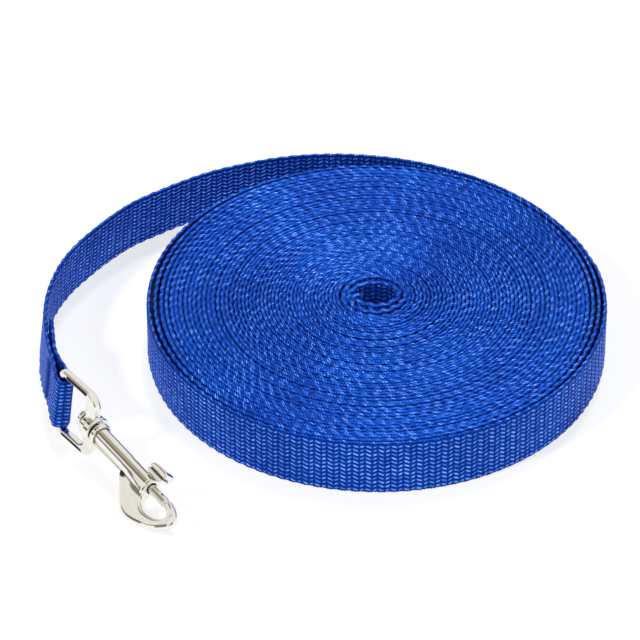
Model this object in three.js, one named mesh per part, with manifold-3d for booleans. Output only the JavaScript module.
// A long webbing training leash wound into a flat coil, with a free tail that ends in a swivel
// bolt snap. Units are millimetres and +Z is up. The coil lies flat on Z = 0 with its wraps
// standing on edge, and the origin is under the middle of the whole leash's footprint.
import * as THREE from 'three';
import { mergeVertices } from 'three/addons/utils/BufferGeometryUtils.js';
import Module from 'manifold-3d';

const wasm = await Module();
wasm.setup();

const V = (x, y, z = 0) => new THREE.Vector3(x, y, z);
const { degToRad, clamp } = THREE.MathUtils;

// ---- driving dimensions ------------------------------------------------------------------------
const WEB_WIDTH = 20;            // webbing width, which is also the coil's height
const WEB_THICK = 1.3;
const MID_HEIGHT = WEB_WIDTH / 2;
const GAP = 0.35;                // clearance between neighbouring solids

const COIL_RADIUS = 72.3;        // outside of the tight wraps
const CORE_RADIUS = 11.6;        // outside of the folded hand loop at the heart of the coil
const CORE_Y = 2.6;              // the heart sits slightly off the coil's centre

const EYE_LENGTH = 19.4;         // eye origin to the outside of the far bar
const FAR_BAR_RADIUS = 1.45;     // half the width of the bar that carries the webbing

const STUD_RADIUS = 1.6;
const SPRING_BORE = 1.95;        // radius of the bore for spring and bolt
const BORE_START = 2.6;
const BOLT_TAIL = 15.2;
const KNOB_STEM_X = 23.7;

// The coil's centre is the origin of all placed parts until this shift is taken off.
const FOOTPRINT_MIDDLE = V(-17.62, -8.03);

// ---- materials ---------------------------------------------------------------------------------
const fabric = (name) =>
  new THREE.MeshStandardMaterial({ name, color: 0x1749b0, roughness: 0.62, metalness: 0 });
const metal = ({ name, color, roughness }) =>
  new THREE.MeshStandardMaterial({ name, color, roughness, metalness: 1 });

const webbing = () => fabric('webbing');
const thread = () => fabric('thread');
const nickel = () => metal({ name: 'nickel', color: 0xd9d6cc, roughness: 0.18 });
const darkNickel = () => metal({ name: 'nickel_dark', color: 0xc9c5b8, roughness: 0.25 });
const springSteel = () => metal({ name: 'spring_steel', color: 0x9c9a94, roughness: 0.35 });

// ---- geometry helpers --------------------------------------------------------------------------
// A Manifold solid from a closed three.js geometry.
function solid(geometry) {
  const bare = geometry.clone();
  bare.deleteAttribute('normal');
  bare.deleteAttribute('uv');
  const merged = mergeVertices(bare, 1e-5);
  return new wasm.Manifold(new wasm.Mesh({
    numProp: 3,
    vertProperties: merged.attributes.position.array,
    triVerts: new Uint32Array(merged.index.array),
  }));
}

// A flat-shaded three.js geometry from a Manifold solid.
function geometryOf(manifold) {
  const mesh = manifold.getMesh();
  const indexed = new THREE.BufferGeometry();
  indexed.setAttribute('position', new THREE.BufferAttribute(mesh.vertProperties, 3));
  indexed.setIndex(new THREE.BufferAttribute(mesh.triVerts, 1));
  const flat = indexed.toNonIndexed();
  flat.computeVertexNormals();
  return flat;
}

function circlePoints(radius, count, centreY = 0) {
  return Array.from({ length: count }, (_, i) => {
    const angle = (2 * Math.PI * i) / count;
    return new THREE.Vector2(radius * Math.cos(angle), centreY + radius * Math.sin(angle));
  });
}

const polygon = (points) => new THREE.Shape(points.map(([x, y]) => new THREE.Vector2(x, y)));

// A shape extruded to a full depth centred on Z = 0, its bevels kept inside the outline.
function prism(shape, fullDepth, bevel = 0) {
  const depth = fullDepth - 2 * bevel;
  const geometry = new THREE.ExtrudeGeometry(shape, {
    depth, steps: 1, curveSegments: 5,
    bevelEnabled: bevel > 0, bevelThickness: bevel, bevelSize: bevel, bevelOffset: -bevel,
    bevelSegments: 2,
  });
  return geometry.translate(0, 0, -depth / 2);
}

// A profile of [x, radius] pairs, starting and ending on the axis, turned about the X axis.
function turned(profile, segments) {
  const points = profile.map(([x, radius]) => new THREE.Vector2(radius, x));
  return new THREE.LatheGeometry(points, segments).rotateZ(-Math.PI / 2);
}

const rod = (start, end, radius, segments) =>
  turned([[start, 0], [start, radius], [end, radius], [end, 0]], segments);

// A long box bent so that its length follows centre(t) and its width follows widthDirection(t),
// both for t from 0 to 1.
function bentStrap({ centre, widthDirection, segments, thick = WEB_THICK, width = WEB_WIDTH }) {
  const geometry = new THREE.BoxGeometry(1, thick, width, segments, 1, 1);
  const position = geometry.attributes.position;
  const step = 1e-3;
  for (let i = 0; i < position.count; i++) {
    const t = position.getX(i) + 0.5;
    const across = widthDirection(t).normalize();
    const before = centre(Math.max(0, t - step));
    const tangent = centre(Math.min(1, t + step)).sub(before).normalize();
    const normal = across.clone().cross(tangent).normalize();
    const point = centre(t)
      .addScaledVector(normal, position.getY(i))
      .addScaledVector(across, position.getZ(i));
    position.setXYZ(i, point.x, point.y, point.z);
  }
  geometry.computeVertexNormals();
  return geometry;
}

const smooth = (t) => t * t * (3 - 2 * t);
const upright = () => V(0, 0, 1);

function add(parent, name, geometry, material) {
  const mesh = new THREE.Mesh(geometry, material);
  mesh.name = name;
  parent.add(mesh);
}

// ---- where the snap lies -----------------------------------------------------------------------
function direction(headingDeg, pitchDownDeg = 0) {
  const heading = degToRad(headingDeg);
  const pitch = degToRad(pitchDownDeg);
  return V(Math.cos(pitch) * Math.cos(heading), Math.cos(pitch) * Math.sin(heading),
    -Math.sin(pitch));
}

// Local X, Y and Z of a part that points along a heading and is rolled about it; degrees.
function axesOf({ heading, pitchDown, roll }) {
  const along = direction(heading, pitchDown);
  const level = V(-along.y, along.x).normalize();
  const up = along.clone().cross(level);
  const across = level.multiplyScalar(Math.cos(degToRad(roll)))
    .addScaledVector(up, Math.sin(degToRad(roll)));
  return { along, across, normal: along.clone().cross(across) };
}

const COLLAR_FRONT = V(-87.2, -61.75, 12.6);   // on the swivel axis, where collar meets barrel
const HOOK_AXES = axesOf({ heading: -53.6, pitchDown: 6.6, roll: 42 });
// The eye hangs slightly out of line on its swivel; its far bar runs along its normal.
const EYE_AXES = axesOf({ heading: -49.8, pitchDown: 5.2, roll: -4 });
const EYE_ORIGIN = COLLAR_FRONT.clone().addScaledVector(HOOK_AXES.along, -2.5);
const BAR_CENTRE = EYE_ORIGIN.clone()
  .addScaledVector(EYE_AXES.along, -(EYE_LENGTH - FAR_BAR_RADIUS));
const BAR_UP = EYE_AXES.normal;

function frameGroup(origin, { along, across, normal }) {
  const group = new THREE.Group();
  group.position.copy(origin);
  group.quaternion.setFromRotationMatrix(new THREE.Matrix4().makeBasis(along, across, normal));
  return group;
}

// ---- coil and hand loop ------------------------------------------------------------------------
// The tight wraps, as one thick ring round the hand loop.
function webbingCoil() {
  const shape = new THREE.Shape(circlePoints(COIL_RADIUS, 96));
  shape.holes.push(new THREE.Path(circlePoints(CORE_RADIUS + GAP, 48, CORE_Y)));
  return new THREE.ExtrudeGeometry(shape, { depth: WEB_WIDTH, bevelEnabled: false });
}

// Opening of the flattened hand loop: [x, y] from the heart of the coil.
const HANDLE_OPENING = [
  [-6.3, -1.6], [-3.4, -3.6], [0.4, -4.6], [4.0, -3.4],
  [5.4, -0.4], [4.2, 3.0], [0.6, 4.4], [-3.2, 3.0],
];

// A ring of doubled webbing round a small opening, set in a little at top and bottom.
function handleLoop() {
  const inset = 0.2;
  const shape = new THREE.Shape(circlePoints(CORE_RADIUS, 40, CORE_Y));
  const corners = HANDLE_OPENING.map(([x, y]) => V(x, y + CORE_Y));
  const opening = new THREE.CatmullRomCurve3(corners, true, 'centripetal').getPoints(32)
    .slice(0, -1)
    .map(({ x, y }) => new THREE.Vector2(x, y));
  shape.holes.push(new THREE.Path(opening));
  return new THREE.ExtrudeGeometry(shape, { depth: WEB_WIDTH - 2 * inset, bevelEnabled: false })
    .translate(0, 0, inset);
}

// Bar-tack of the hand loop, an arc lying against the inside of the loop.
function handleStitching() {
  const arc = { x: 0.35, y: 2.75, radius: 3.75, start: -62, sweep: 60 };
  return bentStrap({
    centre: (t) => {
      const angle = degToRad(arc.start + arc.sweep * t);
      return V(arc.x + arc.radius * Math.cos(angle), arc.y + arc.radius * Math.sin(angle),
        MID_HEIGHT);
    },
    widthDirection: upright, segments: 6, thick: 0.4, width: 12,
  });
}

// ---- the tail's path ---------------------------------------------------------------------------
// Stations along the strap's upper edge in plan, [x, y]. They run anticlockwise from the end of
// the last turn to the snap. Places on the tail are given as (fractional) station numbers.
const TAIL_STATIONS = [
  [71.75, 17.85], [67.35, 29.65], [61.1, 40.6], [53.6, 50.7], [44.3, 59.7], [33.6, 67.4],
  [21.3, 73.5], [8.7, 77.7], [-4.6, 80.0], [-17.8, 80.4], [-30.2, 78.9], [-41.8, 75.7],
  [-55.5, 70.2], [-65.2, 64.5], [-71.8, 59.9], [-80.4, 53.3], [-88.0, 44.9], [-94.0, 36.7],
  [-99.2, 28.5], [-102.9, 20.4], [-105.3, 12.4], [-106.8, 4.3], [-107.35, -3.8], [-107.1, -11],
  [-106.6, -18], [-105.7, -25], [-104.6, -31.3], [-103.3, -36.8],
];
const LAST_STATION = TAIL_STATIONS.length - 1;
const HINGE_ONE = 11;            // station where the outer wrap ends and the lead strap starts
const HINGE_TWO = 20;            // station where the lead strap ends and the snap loop starts
const LEAN = 6;                  // degrees, how far the tail leans over towards the coil
const LEAN_START = 5;            // station where the lean sets in
const LEAN_LENGTH = 7;           // stations over which it grows

const tailTop = new THREE.CatmullRomCurve3(
  TAIL_STATIONS.map(([x, y]) => V(x, y, MID_HEIGHT)), false, 'centripetal');

const leanAngle = (station) =>
  degToRad(LEAN) * smooth(clamp((station - LEAN_START) / LEAN_LENGTH, 0, 1));

// Level unit vector square to the tail, towards the coil.
function inward(station) {
  const step = 0.1;
  const end = LAST_STATION;
  const before = tailTop.getPoint(clamp(station - step, 0, end - 2 * step) / end);
  const after = tailTop.getPoint(clamp(station + step, 2 * step, end) / end);
  const along = after.sub(before).normalize();
  return V(-along.y, along.x);
}

// The tail's width direction: its lower edge stands further out than its upper edge.
function tailWidth(station) {
  const lean = leanAngle(station);
  return upright().multiplyScalar(Math.cos(lean)).addScaledVector(inward(station), Math.sin(lean));
}

// Centre line of the tail, raised so that the leaning strap still rests on Z = 0.
function tailCentre(station) {
  const lean = leanAngle(station);
  return tailTop.getPoint(clamp(station / LAST_STATION, 0, 1))
    .addScaledVector(inward(station), -Math.sin(lean) * WEB_WIDTH / 2)
    .setZ(Math.cos(lean) * WEB_WIDTH / 2 + Math.sin(lean) * WEB_THICK / 2);
}

// ---- the last turn and the lead strap ----------------------------------------------------------
// The last, loose turn of the coil, running on into the tail as far as the first hinge.
function outerWrap() {
  const radius = 74.2;
  const startAngle = 140;        // degrees, where the turn lifts off the tight wraps
  const endAngle = 360 + 13.97;
  const arcShare = 0.72;         // share of the strap's parameter spent on the arc
  const stationAt = (t) => (HINGE_ONE - 0.04) * (t - arcShare) / (1 - arcShare);
  return bentStrap({
    centre: (t) => {
      if (t >= arcShare) return tailCentre(stationAt(t));
      const angle = degToRad(startAngle + (endAngle - startAngle) * (t / arcShare));
      return V(radius * Math.cos(angle), radius * Math.sin(angle), MID_HEIGHT);
    },
    widthDirection: (t) => (t < arcShare ? upright() : tailWidth(stationAt(t))),
    segments: 84,
  });
}

function leadStrap() {
  const start = HINGE_ONE + 0.04;
  const end = HINGE_TWO - 0.05;
  const stationAt = (t) => start + (end - start) * t;
  return bentStrap({
    centre: (t) => tailCentre(stationAt(t)),
    widthDirection: (t) => tailWidth(stationAt(t)),
    segments: 24,
  });
}

// ---- the doubled end round the eye's far bar ---------------------------------------------------
const TURN_RADIUS = FAR_BAR_RADIUS + 0.5 + WEB_THICK / 2;
const TURN_ANGLES = [-8, 25, 60, 95, 130, 165, 195];   // degrees round the bar
// The returning layer: [station, distance inside the main layer], ending at the cut end.
const RETURN_LAYER = [[27, 2.35], [26, 1.8], [25, 2.3], [24, 2.5], [23.5, 2.35]];

// A point beside the tail, offset towards the coil, with its height eased to the bar's centre.
function besideTail(station, offset, step = 0.2) {
  const point = tailCentre(station);
  const along = point.clone().sub(tailCentre(station - step)).setZ(0).normalize();
  const progress = (station - HINGE_TWO) / (LAST_STATION + 1 - HINGE_TWO);
  const rise = smooth(Math.min(1, progress * 1.05));
  return V(point.x - along.y * offset, point.y + along.x * offset,
    MID_HEIGHT + (BAR_CENTRE.z - MID_HEIGHT) * rise);
}

function snapLoop() {
  const points = [];
  for (let i = HINGE_TWO; i <= LAST_STATION; i++) points.push(besideTail(i, 0));
  const arriveEnd = points.length;

  const arriving = direction(-63).projectOnPlane(BAR_UP).normalize();
  const coilward = arriving.clone().cross(BAR_UP).normalize().negate();
  for (const degrees of TURN_ANGLES) {
    points.push(BAR_CENTRE.clone()
      .addScaledVector(coilward, -Math.cos(degToRad(degrees)) * TURN_RADIUS)
      .addScaledVector(arriving, Math.sin(degToRad(degrees)) * TURN_RADIUS));
  }
  const turnEnd = points.length - 1;
  for (const [station, offset] of RETURN_LAYER) points.push(besideTail(station, offset));
  const last = points.length - 1;
  const curve = new THREE.CatmullRomCurve3(points, false, 'centripetal');

  // 0 where the strap keeps the tail's lean, 1 where it lies parallel to the bar
  const alignment = (i) => {
    if (i < arriveEnd) return smooth(Math.min(1, (i / (arriveEnd - 1)) * 1.1));
    return i < turnEnd ? 1 : 1 - 0.42 * (i - turnEnd) / RETURN_LAYER.length;
  };
  return bentStrap({
    centre: (t) => curve.getPoint(0.003 + 0.997 * t),
    widthDirection: (t) => {
      const share = alignment(t * last);
      return tailWidth(HINGE_TWO + 3 * share).lerp(BAR_UP, share);
    },
    segments: 96, width: WEB_WIDTH - 0.2,
  });
}

// Bar-tack across the doubled end, on the face away from the coil.
function snapStitching() {
  return bentStrap({
    centre: (t) => besideTail(26.1 + 0.9 * t, -1.3, 0.1),
    widthDirection: () => tailWidth(25).lerp(BAR_UP, 0.9),
    segments: 4, thick: 0.4, width: 15,
  });
}

// ---- swivel eye --------------------------------------------------------------------------------
// Local frame: X points to the hook, Y goes through the eye's faces, Z runs along the far bar.
const EYE_HALF_WIDTH = 25.3 / 2; // outside of the side bars
const EYE_BAR = 2.25;            // side bar size across the eye
const EYE_DEPTH = 2.9;           // side bar size through the eye
const EYE_NEAR_FACE = -0.4;
const EYE_NEAR_BAR = 5.0;        // width of the bar that holds the boss

// Outline with x along the eye and y along its far bar.
function eyeOutline() {
  const near = EYE_NEAR_FACE;
  const far = -EYE_LENGTH;
  const half = EYE_HALF_WIDTH;
  const nearCorner = 4.2;
  const farCorner = 2.0;
  const outline = new THREE.Shape();
  outline.moveTo(near, -half + nearCorner);
  outline.lineTo(near, half - nearCorner);
  outline.quadraticCurveTo(near, half, near - nearCorner, half);
  outline.lineTo(far + farCorner, half);
  outline.quadraticCurveTo(far, half, far, half - farCorner);
  outline.lineTo(far, -half + farCorner);
  outline.quadraticCurveTo(far, -half, far + farCorner, -half);
  outline.lineTo(near - nearCorner, -half);
  outline.quadraticCurveTo(near, -half, near, -half + nearCorner);

  const innerHalf = half - EYE_BAR;
  const innerNear = near - EYE_NEAR_BAR;
  const innerFar = far + 2 * FAR_BAR_RADIUS;
  const innerCorner = 2.2;
  const opening = new THREE.Path();
  opening.moveTo(innerNear, -innerHalf + innerCorner);
  opening.quadraticCurveTo(innerNear, -innerHalf, innerNear - innerCorner, -innerHalf);
  opening.lineTo(innerFar, -innerHalf);
  opening.lineTo(innerFar, innerHalf);
  opening.lineTo(innerNear - innerCorner, innerHalf);
  opening.quadraticCurveTo(innerNear, innerHalf, innerNear, innerHalf - innerCorner);
  outline.holes.push(opening);
  return outline;
}

function swivelEye() {
  const bossRadius = 4.6;
  const boss = turned([
    [-5.4, 0], [-5.4, 3.1], [-5.0, 3.4], [-2.9, 3.4], [-2.5, bossRadius - 0.2],
    [EYE_NEAR_FACE, bossRadius], [0.1, bossRadius - 0.5], [0.1, 0],
  ], 28);
  let body = solid(prism(eyeOutline(), EYE_DEPTH, 0.8).rotateX(Math.PI / 2))
    .add(solid(boss))
    .subtract(solid(rod(-6, 2, 2.0, 24)));   // swivel hole

  // sprue-saving grooves along both faces of each side bar
  const grooveLength = EYE_LENGTH - 9.2;
  for (const face of [-1, 1]) {
    for (const side of [-1, 1]) {
      const groove = new THREE.BoxGeometry(grooveLength, 1.0, 0.9).translate(
        -grooveLength / 2 - 5.9, face * (EYE_DEPTH / 2), side * (EYE_HALF_WIDTH - EYE_BAR / 2));
      body = body.subtract(solid(groove));
    }
  }
  return geometryOf(body);
}

// ---- hook --------------------------------------------------------------------------------------
// Local frame: X runs along the swivel axis from COLLAR_FRONT, the hook bows out to -Y and the
// thumb knob stands out to +Y.

// Outline of the hook, [x, y]: round the outside to the nose, then back along the inside.
const HOOK_OUTLINE = [
  [15.2, -1.0], [15.2, -3.3], [16.9, -5.9], [18.8, -7.9], [21.5, -10.4], [23.6, -11.9],
  [26.6, -12.5], [29.4, -12.2], [34.0, -10.8], [37.8, -9.0], [40.8, -7.0], [42.9, -4.6],
  [43.2, -2.4], [42.2, -0.8], [40.5, 0.2], [38.2, 1.1], [35.9, 1.5], [35.5, 0.9],
  [35.6, -0.9], [37.4, -1.0], [38.6, -1.6], [39.1, -2.5], [39.0, -3.5], [38.3, -4.5],
  [36.8, -5.6], [34.8, -6.3], [32.6, -6.7], [30.8, -6.6], [29.1, -6.1], [27.8, -5.1],
  [27.2, -3.8], [26.6, -2.3], [25.9, -1.8], [25.9, -0.4],
];
// Thin rib along the barrel's -Y side, [x, y].
const RIB_OUTLINE = [[-1.2, -0.5], [-1.2, -3.3], [0.4, -3.9], [15.8, -3.3], [15.8, -0.5]];
// Pad of the thumb knob, [x, y].
const PAD_OUTLINE = [
  [22.3, 4.1], [22.2, 5.5], [22.9, 6.7], [24.1, 7.2], [28.2, 7.2],
  [29.8, 6.7], [30.5, 5.7], [30.6, 4.2], [29.9, 3.5], [22.9, 3.5],
];

function hookBody() {
  const collarRadius = 3.7;
  const barrelRadius = 2.8;
  const barrelLength = 26.3;
  const barrel = turned([
    [-1.8, 0], [-1.8, collarRadius - 0.3], [-1.5, collarRadius], [-0.4, collarRadius],
    [0, collarRadius - 0.4], [0.2, barrelRadius], [barrelLength - 0.3, barrelRadius],
    [barrelLength, barrelRadius - 0.3], [barrelLength, 0],
  ], 28);
  const slotLength = 10.9;
  const knobSlot = new THREE.BoxGeometry(slotLength, 4, 2.2)
    .translate(14.4 + slotLength / 2, 2.6, 0);
  return geometryOf(solid(barrel)
    .add(solid(prism(polygon(HOOK_OUTLINE), 3.6, 0.7)))
    .add(solid(prism(polygon(RIB_OUTLINE), 1.7)))
    .subtract(solid(rod(BORE_START, 30, SPRING_BORE, 24)))
    .subtract(solid(rod(-4, 3.2, STUD_RADIUS + 0.3, 20)))
    .subtract(solid(knobSlot)));
}

function swivelStud() {
  const headRadius = 3.0;
  return turned([
    [-10.6, 0], [-10.6, 1.2], [-10.1, 2.2], [-9.2, headRadius], [-8.6, headRadius],
    [-8.6, STUD_RADIUS], [2.1, STUD_RADIUS], [2.1, 0],
  ], 24);
}

const SPRING_TURNS = 6.5;
const SPRING_WIRE = 0.28;        // wire radius

class Helix extends THREE.Curve {
  getPoint(t, out = new THREE.Vector3()) {
    const angle = SPRING_TURNS * 2 * Math.PI * t;
    const radius = SPRING_BORE - GAP - SPRING_WIRE;
    const start = BORE_START + GAP + SPRING_WIRE;
    const end = BOLT_TAIL - GAP - SPRING_WIRE;
    return out.set(start + (end - start) * t, radius * Math.cos(angle), radius * Math.sin(angle));
  }
}

function boltSpring() {
  return new THREE.ExtrudeGeometry(new THREE.Shape(circlePoints(SPRING_WIRE, 5)), {
    steps: 12 * SPRING_TURNS, extrudePath: new Helix(), bevelEnabled: false,
  });
}

function bolt() {
  const radius = 1.5;
  const tip = 35.1;              // where the bolt meets the hook's nose
  const body = turned([
    [BOLT_TAIL, 0], [BOLT_TAIL, radius - 0.2], [BOLT_TAIL + 0.3, radius],
    [tip - 0.7, radius], [tip, radius - 0.7], [tip, 0],
  ], 20);
  const stemHole = new THREE.CylinderGeometry(1.15, 1.15, 4, 14)
    .translate(KNOB_STEM_X, 0.9 + 4 / 2, 0);
  return geometryOf(solid(body).subtract(solid(stemHole)));
}

function thumbKnob() {
  const stemLength = 3.3;
  const stem = new THREE.CylinderGeometry(0.85, 0.85, stemLength, 12)
    .translate(KNOB_STEM_X, 1.2 + stemLength / 2, 0);
  return geometryOf(solid(prism(polygon(PAD_OUTLINE), 4.2, 0.7)).add(solid(stem)));
}

// ---- assembly ----------------------------------------------------------------------------------
const leash = new THREE.Group();
const placed = new THREE.Group();
placed.position.copy(FOOTPRINT_MIDDLE).negate();
leash.add(placed);

add(placed, 'webbing_coil', webbingCoil(), webbing());
add(placed, 'handle_loop', handleLoop(), webbing());
add(placed, 'handle_stitching', handleStitching(), thread());
add(placed, 'outer_wrap', outerWrap(), webbing());
add(placed, 'lead_strap', leadStrap(), webbing());
add(placed, 'snap_loop', snapLoop(), webbing());
add(placed, 'snap_stitching', snapStitching(), thread());

const eye = frameGroup(EYE_ORIGIN, EYE_AXES);
placed.add(eye);
add(eye, 'swivel_eye', swivelEye(), nickel());

const hook = frameGroup(COLLAR_FRONT, HOOK_AXES);
placed.add(hook);
add(hook, 'hook_body', hookBody(), nickel());
add(hook, 'swivel_stud', swivelStud(), darkNickel());
add(hook, 'bolt_spring', boltSpring(), springSteel());
add(hook, 'bolt', bolt(), nickel());
add(hook, 'thumb_knob', thumbKnob(), nickel());

leash.updateMatrixWorld(true);

export default leash;
